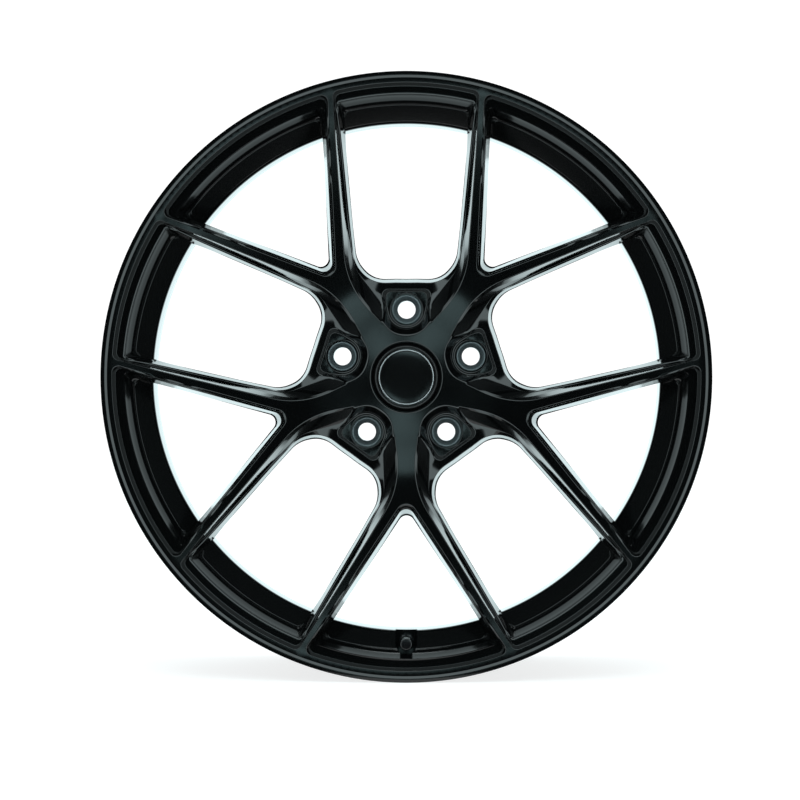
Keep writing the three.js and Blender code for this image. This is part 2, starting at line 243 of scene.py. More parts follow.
class Soup:
    def __init__(self):
        self.faces = []

    def strip(self, a, b):
        for p0, p1, q1, q0 in zip(a, a[1:], b[1:], b):
            self.faces.append([Vector(v) for v in (p0, p1, q1, q0)])

    def rings(self, rings):
        for a, b in zip(rings, rings[1:]):
            self.strip(a, b)

    def fill(self, boundary, inside=(), depth=None):
        """Region inside an outline. Depth comes from the outline's points or from a rule."""
        points = [Vector((p[0], p[1])) for p in boundary]
        given = [p[2] for p in boundary]
        edges = [(i, (i + 1) % len(points)) for i in range(len(points))]
        for p in inside:
            points.append(Vector((p[0], p[1])))
            given.append(depth(p[0], p[1]))
        _, _, tris, origin, _, _ = delaunay_2d_cdt(points, edges, [], 1, 1e-7)
        place = [Vector((*points[o[0]], given[o[0]])) for o in origin]
        self.faces += [[place[i] for i in t] for t in tris]

    def spread(self):
        """The half wedge, its mirror image, and both turned round the axis."""
        pair = []
        for face in self.faces:
            pair.append(face)
            pair.append([Vector((-p.x, p.y, p.z)) for p in face])
        turned = []
        for k in range(SPOKES):
            c, s = math.cos(STEP * k), math.sin(STEP * k)
            for face in pair:
                turned.append([Vector((p.x * c + p.y * s, p.y * c - p.x * s, p.z)) for p in face])
        self.faces = turned
        return self

    def mesh(self, name):
        """One closed mesh: points that share a cell or lie in cells side by side become one."""
        index, verts, faces = {}, [], []
        shifts = list(product((0, 1, -1), repeat=3))
        for face in self.faces:
            ids = []
            for p in face:
                x, y, z = (round(c * WELD_CELLS) for c in p)
                near = None
                for dx, dy, dz in shifts:
                    near = index.get((x + dx, y + dy, z + dz))
                    if near is not None:
                        break
                if near is None:
                    near = len(verts)
                    index[(x, y, z)] = near
                    verts.append(spot(*p))
                if near not in ids:
                    ids.append(near)
            if len(ids) > 2:
                faces.append(ids)
        data = bpy.data.meshes.new(name)
        data.from_pydata(verts, [], faces)
        return outward(data)


def within(p, loop):
    """Whether a point lies inside a closed outline."""
    inside = False
    x, y = p[0], p[1]
    for a, b in zip(loop, [*loop[1:], loop[0]]):
        if (a[1] > y) != (b[1] > y) and x < (b[0] - a[0]) * (y - a[1]) / (b[1] - a[1]) + a[0]:
            inside = not inside
    return inside


def outward(data):
    """Drops faces with no area and turns all the others outwards."""
    bm = bmesh.new()
    bm.from_mesh(data)
    bmesh.ops.dissolve_degenerate(bm, dist=2e-7, edges=bm.edges)
    bmesh.ops.recalc_face_normals(bm, faces=bm.faces)
    bm.to_mesh(data)
    bm.free()
    return data


def show(name, data, body, slot, *nodes, weighted=True):
    """Puts a piece into the scene with its finish, body and the CAD nodes it stands for."""
    obj = bpy.data.objects.new(name, data)
    scene.collection.objects.link(obj)
    for face in data.polygons:
        face.use_smooth = True
    data.set_sharp_from_angle(angle=CREASE)
    if weighted:
        weigh = obj.modifiers.new("normals", "WEIGHTED_NORMAL")
        weigh.keep_sharp = True
        weigh.weight = 60
    data.materials.append(FINISH[slot])
    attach(obj, body)
    if nodes:
        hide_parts(*nodes)
    return obj


def settle(obj, normal_at):
    """Fixes an object's shading: weighted normals, or the exact one where normal_at knows it."""
    graph = bpy.context.evaluated_depsgraph_get()
    data = bpy.data.meshes.new_from_object(obj.evaluated_get(graph))
    known = [normal_at(v.co) for v in data.vertices]
    normals = []
    for loop in data.loops:
        exact = known[loop.vertex_index]
        normals.append(exact if exact else Vector(loop.normal))
    data.normals_split_custom_set(normals)
    obj.modifiers.clear()
    obj.data = data


def lathe(name, profile, segments, centre=(0.0, 0.0)):
    """A closed outline of (radius, depth) turned about an axis along Y."""
    soup = Soup()
    around = []
    for i in range(segments):
        a = 2 * math.pi * i / segments
        around.append((math.sin(a), math.cos(a)))
    closed = [*profile, profile[0]] if profile[0][0] > 0 or profile[-1][0] > 0 else profile
    rings = []
    for r, depth in closed:
        ring = [Vector((centre[0] + r * s, centre[1] + r * c, depth)) for s, c in around]
        rings.append([*ring, ring[0]])
    soup.rings(rings)
    return soup.mesh(name)


def soften(profile, default=0.25, steps=3, closed=True):
    """Rounds an outline's corners: (radius, depth) or (radius, depth, rounding)."""
    out = []
    n = len(profile)
    for i, p in enumerate(profile):
        reach = p[2] if len(p) > 2 else default
        on_end = not closed and i in (0, n - 1)
        if reach <= 0 or on_end:
            out.append((p[0], p[1]))
            continue
        here = Vector(p[:2])
        a = towards(here, Vector(profile[i - 1][:2]), reach)
        b = towards(here, Vector(profile[(i + 1) % n][:2]), reach)
        for k in range(steps + 1):
            q = curve(a, here, b, k / steps)
            out.append((q.x, q.y))
    return out


def subdivide_profile(profile, longest):
    """Splits a closed outline's sides, so that none is longer than that."""
    out = []
    for p, q in zip(profile, [*profile[1:], profile[0]]):
        steps = max(1, math.ceil((Vector(q) - Vector(p)).length / longest))
        out += [(mix(p[0], q[0], i / steps), mix(p[1], q[1], i / steps)) for i in range(steps)]
    return out


def combine(data, pieces, operation):
    """data with each piece added (UNION) or taken away (DIFFERENCE), exactly."""
    base = bpy.data.objects.new("base", data)
    scene.collection.objects.link(base)
    tools = []
    for i, piece in enumerate(pieces):
        tool = bpy.data.objects.new(f"tool{i}", piece)
        scene.collection.objects.link(tool)
        tools.append(tool)
        cut = base.modifiers.new(f"cut{i}", "BOOLEAN")
        cut.operation = operation
        cut.solver = "EXACT"
        cut.object = tool
    graph = bpy.context.evaluated_depsgraph_get()
    done = bpy.data.meshes.new_from_object(base.evaluated_get(graph))
    for obj in (base, *tools):
        bpy.data.objects.remove(obj)
    return done


# ---------------------------------------------------------------- finishes

DRIFT_SCALE = 25.0
DRIFT_GAIN = 1.25
RELIEF_DEPTH = 0.0002


def finish_nodes(name, color, roughness, metallic=0.0, spread=0.05, grain=900.0, bump=0.02,
                 stretch=None):
    """Principled finish with fine grain in its relief and roughness, and slow drift in colour."""
    m = bpy.data.materials.new(name)
    m.use_nodes = True
    nodes, links = m.node_tree.nodes, m.node_tree.links
    shader = nodes["Principled BSDF"]
    shader.inputs["Metallic"].default_value = metallic
    where = nodes.new("ShaderNodeTexCoord")
    source = where.outputs["Object"]
    if stretch:
        mapping = nodes.new("ShaderNodeMapping")
        mapping.inputs["Scale"].default_value = stretch
        links.new(source, mapping.inputs["Vector"])
        source = mapping.outputs["Vector"]
    slow = nodes.new("ShaderNodeTexNoise")
    slow.inputs["Scale"].default_value = DRIFT_SCALE
    slow.inputs["Detail"].default_value = 6.0
    links.new(where.outputs["Object"], slow.inputs["Vector"])
    ramp = nodes.new("ShaderNodeValToRGB")
    ramp.color_ramp.elements[0].position = 0.3
    ramp.color_ramp.elements[1].position = 0.7
    ramp.color_ramp.elements[0].color = (*color, 1)
    ramp.color_ramp.elements[1].color = (*(c * DRIFT_GAIN for c in color), 1)
    links.new(slow.outputs["Fac"], ramp.inputs["Fac"])
    links.new(ramp.outputs["Color"], shader.inputs["Base Color"])
    fine = nodes.new("ShaderNodeTexNoise")
    fine.inputs["Scale"].default_value = grain
    fine.inputs["Detail"].default_value = 3.0
    links.new(source, fine.inputs["Vector"])
    rough = nodes.new("ShaderNodeMapRange")
    rough.inputs["To Min"].default_value = max(0.02, roughness - spread)
    rough.inputs["To Max"].default_value = roughness + spread
    links.new(fine.outputs["Fac"], rough.inputs["Value"])
    links.new(rough.outputs["Result"], shader.inputs["Roughness"])
    relief = nodes.new("ShaderNodeBump")
    relief.inputs["Strength"].default_value = bump
    relief.inputs["Distance"].default_value = RELIEF_DEPTH
    links.new(fine.outputs["Fac"], relief.inputs["Height"])
    links.new(relief.outputs["Normal"], shader.inputs["Normal"])
    return m


FINISH = {
    "satin_black": finish_nodes("satin_black", (0.0012, 0.0014, 0.0015), 0.11, spread=0.015,
                                grain=1500, bump=0.01),
    "seat_metal": finish_nodes("seat_metal", (0.17, 0.2, 0.21), 0.42, metallic=0.85, spread=0.08,
                               grain=1500, bump=0.1, stretch=(1, 9, 1)),
    "cap_black": finish_nodes("cap_black", (0.0015, 0.0015, 0.0016), 0.09, spread=0.02, grain=700,
                              bump=0.015),
    "silver": finish_nodes("silver", (0.4, 0.41, 0.42), 0.2, metallic=1.0, grain=1800, bump=0.05),
    "spring_steel": finish_nodes("spring_steel", (0.42, 0.43, 0.44), 0.3, metallic=1.0, grain=2500,
                                 bump=0.1),
    "nylon": finish_nodes("nylon", (0.03, 0.031, 0.034), 0.55, grain=1200, bump=0.2, spread=0.08),
    "anodised": finish_nodes("anodised", (0.004, 0.004, 0.0045), 0.15, grain=2200,
                             bump=0.08, stretch=(1, 6, 1)),
    "valve_rubber": finish_nodes("valve_rubber", (0.012, 0.012, 0.012), 0.7, grain=1600, bump=0.3,
                                 spread=0.08),
    "valve_brass": finish_nodes("valve_brass", (0.55, 0.38, 0.14), 0.28, metallic=1.0, grain=2000,
                                bump=0.08, stretch=(1, 6, 1)),
}

# ---------------------------------------------------------------- the forging's face

FACE = [(29, 27.3), (45, 26.45), (62, 25.55), (79, 24.35), (100, 21.85), (130, 17.4), (190, 8.6),
        (215, 5.0), (230, 3.1), (239.2, 1.9), (243.4, 1.2)]
PANEL_TOP = (222.2, 21.2)
PANEL_FOOT = (210.2, 31.8)
WELL_R = 208.5


def face_depth(x, z):
    """How deep the face lies: it dishes towards the hub."""
    return eased(FACE, math.hypot(x, z))


def panel_depth(r):
    """The slanted wall behind the ledge."""
    return table([PANEL_FOOT, PANEL_TOP], r)


BACK = [(75, 63.0), (88, 57.5), (104, 51.6), (130, 47.2), (165, 44.0), (208, 42.0), (226, 34.0)]


def back_depth(x, z):
    """How deep the back of the hub and spokes lies."""
    return eased(BACK, math.hypot(x, z))


HUB_BACK = 75.0
POCKET_FLOOR = 37.5
LUG_FLOOR = 44.5

# Wide window. Corners are (x, z, rounding, depth) from the lug outwards.
FORK = (20.6, 44.9)
FACE_EDGE = [(*FORK, 0, 0), (48.6, 72.6, 74, 0), (52.4, 124, -8, 0), (57.0, 188, -8, 0),
             (58.9, 220, -3, 0), (59.5, 231, 0, 0)]
WALL_FOOT = [(19.9, 45.6, 0, 27.8), (46.2, 76.0, 66, 25.6), (48.9, 124, -8, 29.5),
             (55.2, 188, -8, 20.0), (57.4, 217, -3, 8.6), (57.7, 231, 0, 7.8)]
FLOOR_EDGE = [(20.6, 60.4, 0, POCKET_FLOOR - 2.0), (43.5, 90.5, 32, POCKET_FLOOR - 2.0),
              (48.0, 124, -8, 32.5), (53.8, 188, -8, 23.2), (56.3, 216, -3, 9.5),
              (56.7, 231, 0, 7.85)]
SPLIT = [(0, 78.0, 0, 38.4), (9, 78.1, 22, 38.4), (29.5, 77.6, 25, 38.4), (42.9, 94.0, 26, 37.8),
         (46.2, 124, -8, 32.6), (52.4, 188, -8, 23.5), (55.0, 214, -3, 11.0), (55.4, 231, 0, 8)]
REAR_EDGE = [(0, 81.9, 0, 61), (9, 82.0, 22, 61), (28, 81.6, 22, 60), (41.2, 96.8, 25, 53),
             (44.2, 124, -8, 47.5), (49.9, 188, -8, 41.8), (50.5, 208, -3, 33),
             (50.8, 231, 0, 20)]
# V window, in its own frame, from its middle outwards.
VEE_SLOPE = Vector((49.3, 74.4)).normalized()
VEE_FOOT = 97.25


def vee_path(offset, apex, depths, rim_end=232.0):
    """The V window's half outline, pushed in from the face edge by offset."""
    foot = VEE_FOOT + offset / VEE_SLOPE.x
    half = math.atan2(VEE_SLOPE.x, VEE_SLOPE.y)
    start = foot + apex * (1 / math.sin(half) - 1)
    rise = math.tan(half)

    def on_side(z):
        return (z - foot) * rise

    # tangent point, then along the side
    corners = [(0, start, 0, depths[0]), (on_side(start), start, apex, depths[0])]
    for z, depth in zip((135.0, 160.0, 182.0), depths[1:]):
        corners.append((on_side(z), z, -5, depth))
    corners.append((on_side(rim_end), rim_end, 0, depths[-1]))
    return corners


VEE_FACE = vee_path(0, 8.2, (0, 0, 0, 0))
VEE_CHAMFER = vee_path(1.3, 7.6, (22.4, 18.2, 13.6, 8.0))
VEE_STEP = vee_path(1.75, 7.4, (25.0, 20.8, 15.8, 8.6))
VEE_SHELF = vee_path(2.4, 7.2, (25.9, 21.6, 16.4, 8.8))
VEE_SPLIT = vee_path(3.1, 7.0, (26.6, 22.3, 17.0, 9.0))
VEE_REAR = vee_path(6.6, 6.8, (52, 47.5, 43.5, 40))

# Where a window's outline meets the rim: the circle's radius, the fillet into it, the depth
FACE_RIM = (239.2, 5.2, 1.9)
CHAMFER_RIM = (238.0, 4.9, 4.6)
FOOT_RIM = (237.2, 4.6, 7.8)
FLOOR_RIM = (231.6, 3.0, 7.85)
SHELF_RIM = (231.4, 3.0, 7.85)
SPLIT_RIM = (229.7, 3.4, 7.9)

# Steps between the corners of each outline
MAIN_COUNTS = (14, 7, 14, 6, 5)
SPLIT_COUNTS = (3, 3, 6, 6, 13, 6, 5)
VEE_COUNTS = (2, 6, 6, 6, 7)


def wide(corners, circle, fillet, depth, counts=MAIN_COUNTS):
    """The wide window's outline, from beside the lug to the middle of the rim."""
    return outline(corners, counts, rim=(circle, fillet, depth, 10, 26))


def wide_split(corners, circle, fillet, depth):
    """The same from the middle of the hub's edge on."""
    return wide(corners, circle, fillet, depth, SPLIT_COUNTS)


def vee(corners, circle, fillet, depth):
    """The V window's outline, from its point to the middle of the rim."""
    return outline(corners, VEE_COUNTS, rim=(circle, fillet, depth, 10, 12))


def on_face(path):
    return [(x, z, face_depth(x, z)) for x, z, _ in path]


def sideways(path, other, reach, rule):
    """Stations moved away from another outline, at a depth given by a rule."""
    out = []
    for p, q in zip(path, other):
        away = (Vector(p[:2]) - Vector(q[:2])).normalized() * reach
        x, z = p[0] + away.x, p[1] + away.y
        out.append((x, z, rule(x, z)))
    return out


def from_vee(ring):
    """From the V window's frame to the half wedge beside the wide window."""
    c, s = math.cos(WEDGE), math.sin(WEDGE)
    return [Vector((-p[0] * c + p[1] * s, p[0] * s + p[1] * c, p[2])) for p in ring]


def pin(ring, first=False, last=False):
    """Holds a ring's end on its mirror plane, where x is 0."""
    out = [Vector(p) for p in ring]
    if first:
        out[0].x = 0.0
    if last:
        out[-1].x = 0.0
    return out


soup = Soup()

# Wide window: face edge, wall, shoulder; beside the lug the shoulder is the scoop's wall.
face_edge = on_face(wide(FACE_EDGE, *FACE_RIM))
wall_foot = wide(WALL_FOOT, *FOOT_RIM)
floor_edge = wide(FLOOR_EDGE, *FLOOR_RIM)
split_line = wide_split(SPLIT, *SPLIT_RIM)


def room(p, line):
    """How far a station is from the nearest point of a line."""
    return min((Vector(p[:2]) - Vector(q[:2])).length for q in line)


SCOOP_SLOPE = math.tan(math.radians(24))
floor_end = []
for i, (p, q) in enumerate(zip(floor_edge, wall_foot)):
    gap = min(6.0, room(p, split_line) * 0.5)
    away = (Vector(p[:2]) - Vector(q[:2])).normalized() * gap
    before, after = floor_edge[max(i - 1, 0)], floor_edge[min(i + 1, len(floor_edge) - 1)]
    along = (Vector(after[:2]) - Vector(before[:2])).normalized()
    across = abs(along.x * away.y - along.y * away.x)
    floor_end.append((p[0] + away.x, p[1] + away.y, p[2] + across * SCOOP_SLOPE))
face_in = sideways(face_edge, wall_foot, 1.5, face_depth)


def near_hub(small, large, start=88.0, end=112.0):
    """A rounding that is large at the hub and small along the arms."""
    def reach(p):
        r = math.hypot(p[0], p[1])
        return large if r < start else mix(large, small, min(1, (r - start) / (end - start)))
    return reach


main = rounded([face_in, face_edge, wall_foot, floor_edge, floor_end],
               [(0.9, 0.9), (near_hub(0.5, 0.3), near_hub(0.7, 0.3)),
                (near_hub(0.35, 7.0), near_hub(0.35, 4.2))], (4, 5, 5))
main = [pin(ring, last=True) for ring in main]
face_line = main[1]
floor_line = main[-1]
soup.rings(main[1:])

# Lug pocket: its rim runs over the face, down the scoop's wall and across the scoop's floor.
low_edge = on_face(outline([(0, 33.2, 0, 0), (9.2, 33.2, 22.6, 0), (*FORK, 0, 0)], (4, 4), arc=18))
side = [ring[0] for ring in main[1:]]
top_path = [(*floor_line[0][:2], 0, POCKET_FLOOR), (21.9, 73.0, 6.9, POCKET_FLOOR),
            (0, 73.0, 0, POCKET_FLOOR)]
top = outline(top_path, (3, 5), arc=12)
top = [Vector((x, z, mix(floor_line[0].z, POCKET_FLOOR, min(1.0, i / 4))))
       for i, (x, z, _) in enumerate(top)]
top[0] = floor_line[0].copy()
foot_low = outline([(0, 40.4, 0, 0), (13.5, 40.4, 15.0, 0), (16.3, 56.0, 0, 0)], (4, 4), arc=18)
steps_up = len(side) - 1
foot_side = [(mix(16.3, 17.2, i / steps_up), mix(56.0, 61.5, i / steps_up))
             for i in range(steps_up + 1)]
foot_top = outline([(17.2, 61.5, 0, 0), (17.4, 71.0, 5.0, 0), (0, 71.0, 0, 0)], (3, 5), arc=12)
lip = [Vector(p) for p in (*low_edge[:-1], *side, *top[1:])]
foot = [Vector((p[0], p[1], LUG_FLOOR)) for p in (*foot_low[:-1], *foot_side, *foot_top[1:])]
lug_axis = Vector((0.0, LUG_R))
CUP_STEPS = 5
CUP_EDGE = 1.3
cup = [lip]
upper_wall, lower_bend = [], []
for p, q in zip(lip, foot):
    # the wall slopes at 45 degrees to a knee and drops from there; near the top it is straight
    flat = (q - p).to_2d()
    start = min(CUP_EDGE, flat.length * 0.4)
    fall = min(flat.length * 0.86 - start, (q.z - p.z) * 0.75)
    slanted = p + Vector((*(flat.normalized() * (start + fall)), fall))
    knee = slanted.lerp(p.lerp(q, 0.6), min(1.0, max(0.0, (q.y - 64) / 5)))
    over = p + Vector((*(flat.normalized() * start), 0.0))
    down = over + (knee - over).normalized() * min(CUP_EDGE, (knee - over).length * 0.6)
    upper_wall.append([curve(p, over, down, k / CUP_STEPS) for k in range(1, CUP_STEPS + 1)])
    upper_wall[-1].append(knee)
    bend = 1.9 if q.y < 50 else mix(1.9, 0.8, min(1.0, (q.y - 50) / 12))
    inward = lug_axis - q.to_2d()
    inward = inward.normalized() * min(bend, inward.length - 14.2)
    rise = q + (knee - q).normalized() * min(bend, (knee - q).length * 0.8)
    end = q + Vector((*inward, 0.0))
    lower_bend.append([curve(rise, q, end, k / CUP_STEPS) for k in range(CUP_STEPS + 1)])
cup += [list(ring) for ring in (*zip(*upper_wall), *zip(*lower_bend))]
floor_ring = cup[-1]
for ring in cup:
    ring[0].x = 0.0
    ring[-1].x = 0.0
soup.rings(cup)

HALF_TURN = 32


def half_circle(r, depth):
    """Right half of a circle about the lug, from its lowest point to its highest."""
    out = []
    for i in range(HALF_TURN + 1):
        a = math.pi * i / HALF_TURN
        out.append(Vector((r * math.sin(a), LUG_R - r * math.cos(a), depth)))
    out[0].x = out[-1].x = 0.0
    return out


WELL = [(13.9, LUG_FLOOR), (13.45, LUG_FLOOR + 0.2), (13.3, 45.9), (13.1, 46.1), (12.15, 46.1),
        (12.1, 46.3), (12.1, 60.3), (7.5, 60.3), (7.5, 74.2), (8.2, HUB_BACK)]
well_rings = [half_circle(r, d) for r, d in WELL]
soup.rings(well_rings)
soup.fill([*floor_ring, *reversed(well_rings[0])])

# Window wall: shoulder's edge, steep lower wall, rear edge; at the rim it is the ledge, its hollow
# wall and the small step down to the panel.
RIM_LEVELS = [SPLIT_RIM, (228.72, 3.8, 10.2), (226.85, 4.2, 13.95), (224.95, 4.6, 17.65),
              (222.7, 5.0, 19.85), (222.35, 5.2, 21.6)]
# how far each level's sides have gone from the shoulder's edge to the rear edge
SHARES = (0.0, 0.14, 0.36, 0.66, 0.97, 1.0)
PANEL_START = WELL_R - 1.0
HUB_REACH = 84.0
ARM_END = 196.0
BACK_BEVEL = 0.8


def window_levels(path, edge_corners, rear_corners):
    """Outlines from the shoulder's edge back to the rear edge."""
    levels = []
    for (circle, fillet, depth), share in zip(RIM_LEVELS, SHARES):
        corners = blend_corners(edge_corners, rear_corners, share)
        levels.append(path(corners, circle, fillet, depth))
    return levels


def clamp_to_panel(level, extra):
    """Keeps stations near the barrel from going deeper than the panel and extra."""
    out = []
    for x, z, d in level:
        r = math.hypot(x, z)
        if r > PANEL_START:
            d = min(d, panel_depth(r) + extra)
        out.append((x, z, d))
    return out


def rear_edge(x, z, depth):
    """The rear edge lies a bevel before the back, and runs forward where it nears the barrel."""
    near = min(1.0, max(0.0, (math.hypot(x, z) - ARM_END) / 11))
    level = back_depth(x, z) - BACK_BEVEL
    return x, z, mix(level, min(depth, level), near)


def window(path, edge_corners, rear_corners, shoulder):
    """A window's wall as rings, from the shoulder's edge to just inside the back."""
    levels = window_levels(path, edge_corners, rear_corners)
    levels[-2] = clamp_to_panel(levels[-2], -0.3)
    levels[-1] = clamp_to_panel([rear_edge(*p) for p in levels[-1]], BACK_BEVEL)
    tips = []
    for x, z, depth in levels[-1]:
        r = math.hypot(x, z)
        if r > PANEL_START:
            c = Vector((x, z)) * (1 - 1.3 / r)
            tips.append((c.x, c.y, panel_depth(r - 1.3) + 1.2))
        else:
            tips.append((x, z, min(back_depth(x, z), depth + BACK_BEVEL)))
    inner = []
    for p, q in zip(levels[0], sideways(levels[0], levels[2], 1.2, shoulder)):
        rise = 1.0 if math.hypot(*p[:2]) > HUB_REACH else 0.05
        inner.append((q[0], q[1], max(p[2] - rise, q[2])))
    rings = rounded([inner, *levels, tips],
                    [(0.5, 0.5), (1.0, 1.0), (1.2, 1.2), (1.2, 1.2), (0.8, 0.7), (0.3, 0.3)],
                    (3, 1, 1, 1, 3, 2))
    return rings[1:]


def shoulder_limit(x, z):
    """The shoulder never rises above the flat that runs round the rim."""
    return 7.85 if math.hypot(x, z) > 200 else 0.0


wide_rings = window(wide_split, SPLIT, REAR_EDGE, shoulder_limit)
wide_rings = [pin(ring, True, True) for ring in wide_rings]
soup.rings(wide_rings)

# Shoulder, scoop floor and pocket floor: everything between the wall's foot and the lower edge.
soup.fill([*floor_line, *reversed(wide_rings[0]), *reversed(top[1:])])

# V window
v_face = on_face(vee(VEE_FACE, *FACE_RIM))
v_chamfer = vee(VEE_CHAMFER, *CHAMFER_RIM)
v_step = vee(VEE_STEP, *FOOT_RIM)
v_split_in = vee(VEE_SHELF, *SHELF_RIM)
v_face_in = sideways(v_face, v_chamfer, 1.3, face_depth)
v_main = rounded([v_face_in, v_face, v_chamfer, v_step, v_split_in],
                 [(0.8, 0.6), (0.3, 0.3), (0.3, 0.3)], (4, 3, 3))
v_main = [pin(ring, True, True) for ring in v_main]
v_rings = window(vee, VEE_SPLIT, VEE_REAR, lambda x, z: 0)
v_rings = [pin(ring, True, True) for ring in v_rings]
for group in (v_main[1:], v_rings):
    for a, b in zip(group, group[1:]):
        soup.strip(from_vee(a), from_vee(b))
# between the step and the lower edge
v_gap = Soup()
v_gap.fill([*v_main[-1], *reversed(v_rings[0])])
soup.faces += [[from_vee([p])[0] for p in face] for face in v_gap.faces]

# Face between the outlines, out to the lip
LIP_EDGE = (243.2, 1.25)
BORE_EDGE = 30.1
BORE_STEPS = 24
OUTER_STEPS = 46
TRUNK_STEPS = 26


def arc(r, depth, steps):
    """Stations round the half wedge, from its middle."""
    out = []
    for i in range(steps + 1):
        a = WEDGE * (i / steps)
        out.append(Vector((r * math.sin(a), r * math.cos(a), depth)))
    return out


def grid(radii, spacing, boundary):
    """Points on circles about the axis, inside a boundary and clear of its own points."""
    out = []
    for r in radii:
        steps = max(4, int(r * WEDGE / spacing))
        for i in range(1, steps):
            a = WEDGE * i / steps
            p = Vector((r * math.sin(a), r * math.cos(a)))
            if within(p, boundary) and room(p, boundary) > 1.2:
                out.append((p.x, p.y))
    return out


bore = arc(BORE_EDGE, face_depth(0, BORE_EDGE), BORE_STEPS)
outer = arc(*LIP_EDGE, OUTER_STEPS)
v_edge = from_vee(v_main[1])
trunk_line = []
for i in range(1, TRUNK_STEPS):
    r = mix(BORE_EDGE, v_edge[0].to_2d().length, i / TRUNK_STEPS)
    trunk_line.append(Vector((r * math.sin(WEDGE), r * math.cos(WEDGE), face_depth(0, r))))
face_boundary = [*(Vector(p) for p in low_edge[:-1]), *face_line, *outer, *reversed(v_edge),
                 *reversed(trunk_line), *reversed(bore)]
FACE_GRID = (34, 38, 44, 50, 56, 62, 68, 74, 80, 86, 92, 98, 104, 110, 117, 124, 132, 140, 150, 160,
             170, 180, 190, 200, 208, 215, 222, 229, 234, 237.5)
soup.fill(face_boundary, inside=grid(FACE_GRID, 4.0, face_boundary), depth=face_depth)

# Lip, out and round to the flange's edge; its end is buried in the rim piece.
LIP = [LIP_EDGE, (243.45, 1.13), (244.85, 0.26), (245.3, 0.05), (245.8, 0.0), (248.0, 0.0),
       (248.3, 0.07), (248.45, 0.22), (LIP_R, 0.5), (LIP_R, 3.2), (246.0, 4.2), (246.0, 9.0),
       (226.0, 24.0)]
soup.rings([arc(r, d, OUTER_STEPS) for r, d in LIP])

# Bore and hub pad
BORE = [(BORE_EDGE, face_depth(0, BORE_EDGE)), (29.7, 27.33), (29.35, 27.6), (29.2, 28.0),
        (29.2, 31.4), (27.3, 31.4), (27.2, 31.6), (27.2, 47.4), (36.45, 51.9), (36.55, 52.2),
        (36.55, 73.9), (37.6, HUB_BACK)]
soup.rings([arc(r, d, BORE_STEPS) for r, d in BORE])
PAD = [(74.2, HUB_BACK), (74.9, 74.7), (75.0, 74.2), (75.0, 70.2), (76.4, 64.0),
       (79.5, back_depth(0, 79.5))]
PAD_STEPS = 34
pad_rings = [arc(r, d, PAD_STEPS) for r, d in PAD]
soup.rings(pad_rings)
pad_hole = well_rings[-1]
pad_inner = arc(*BORE[-1], BORE_STEPS)
soup.fill([*reversed(pad_inner), *pad_hole, *pad_rings[0]])

# Back of hub and spokes
hub_back = pad_rings[-1]
back_outer = arc(*LIP[-1], OUTER_STEPS)
back_boundary = [*wide_rings[-1], *back_outer, *from_vee(v_rings[-1])[::-1], *reversed(hub_back)]
BACK_GRID = (81, 84, 88, 92, 96, 101, 106, 112, 118, 124, 130, 136, 142, 150, 158, 166, 174, 182,
             190, 198, 206, 214)
soup.fill(back_boundary, inside=grid(BACK_GRID, 5.0, back_boundary), depth=back_depth)

face_data = soup.spread().mesh("forging_face")

# ---------------------------------------------------------------- the rim

RIM = [
    (LIP_R - 0.03, 2.7, 0), (LIP_R, 3.0, 0), (LIP_R, 10.6, 1.6), (246.6, 12.0, 1.2),
    (239.0, 12.0, 3.0), (233.6, 13.6, 2.5), (230.5, 17.5, 2.5), (229.3, 32.0, 3.0),
    (230.8, 35.5, 2.0), (228.6, 39.8, 3.0), (213.7, 54.0, 5.0), (213.7, 76.0, 6.0),
    (221.6, 112.0, 8.0), (226.4, 190.0, 6.0), (229.4, 200.5, 3.0), (231.0, 204.5, 2.0),
    (229.4, 208.0, 3.0), (230.5, 222.5, 2.5), (233.6, 226.4, 2.5), (239.0, 228.0, 3.0),
    (246.6, 228.0, 1.2), (LIP_R, 229.4, 1.6), (LIP_R, 238.4, 1.2), (247.0, 240.0, 0.9),
    (243.6, 240.0, 0.9), (240.5, 237.6, 1.5), (229.0, 236.4, 2.0), (224.3, 233.8, 2.5),
    (224.2, 206.0, 4.0), (221.6, 196.0, 6.0), (217.4, 112.0, 10.0), (WELL_R, 68.0, 8.0),
    (WELL_R, 34.2, 1.6), (*PANEL_FOOT, 1.0), (*PANEL_TOP, 0), (224.6, 21.5, 0),
    (226.5, 15.0, 0), (230.5, 11.2, 0), (240.0, 9.5, 0), (243.0, 3.4, 0), (246.2, 2.7, 0),
]
rim_profile = subdivide_profile(soften(RIM, steps=5), 9.0)
rim_data = lathe("forging_rim", rim_profile, 360)


def peg(r, front, back):
    """A round tool on the valve's axis."""
    return lathe("peg", [(0, front), (r, front), (r, back), (0, back)], 96, (0.0, -VALVE_R))


def slot_tool(half, top, bottom, front, back):
    """A box-shaped tool, as wide on either side of the middle as half."""
    soup_box = Soup()
    corners = [(-half, bottom), (half, bottom), (half, top), (-half, top)]
    a = [Vector((x, z, front)) for x, z in corners]
    b = [Vector((x, z, back)) for x, z in corners]
    soup_box.strip([*a, a[0]], [*b, b[0]])
    soup_box.faces += [a, b]
    return soup_box.mesh("slot")


valve_boss = peg(8.6, VALVE_FLOOR - 1, VALVE_FLOOR + 8)
rim_data = combine(rim_data, [valve_boss], "UNION")
rim_data = combine(rim_data, [
    peg(SPOTFACE_R, -5, VALVE_FLOOR),
    slot_tool(SPOTFACE_R, -198.5, -VALVE_R, -5, VALVE_FLOOR),
    peg(6.9, VALVE_FLOOR + 8, 66),
    peg(4.3, 20, 66),
], "DIFFERENCE")
face_data = combine(face_data, [peg(SPOTFACE_R, 8.8, VALVE_FLOOR + 0.2)], "DIFFERENCE")


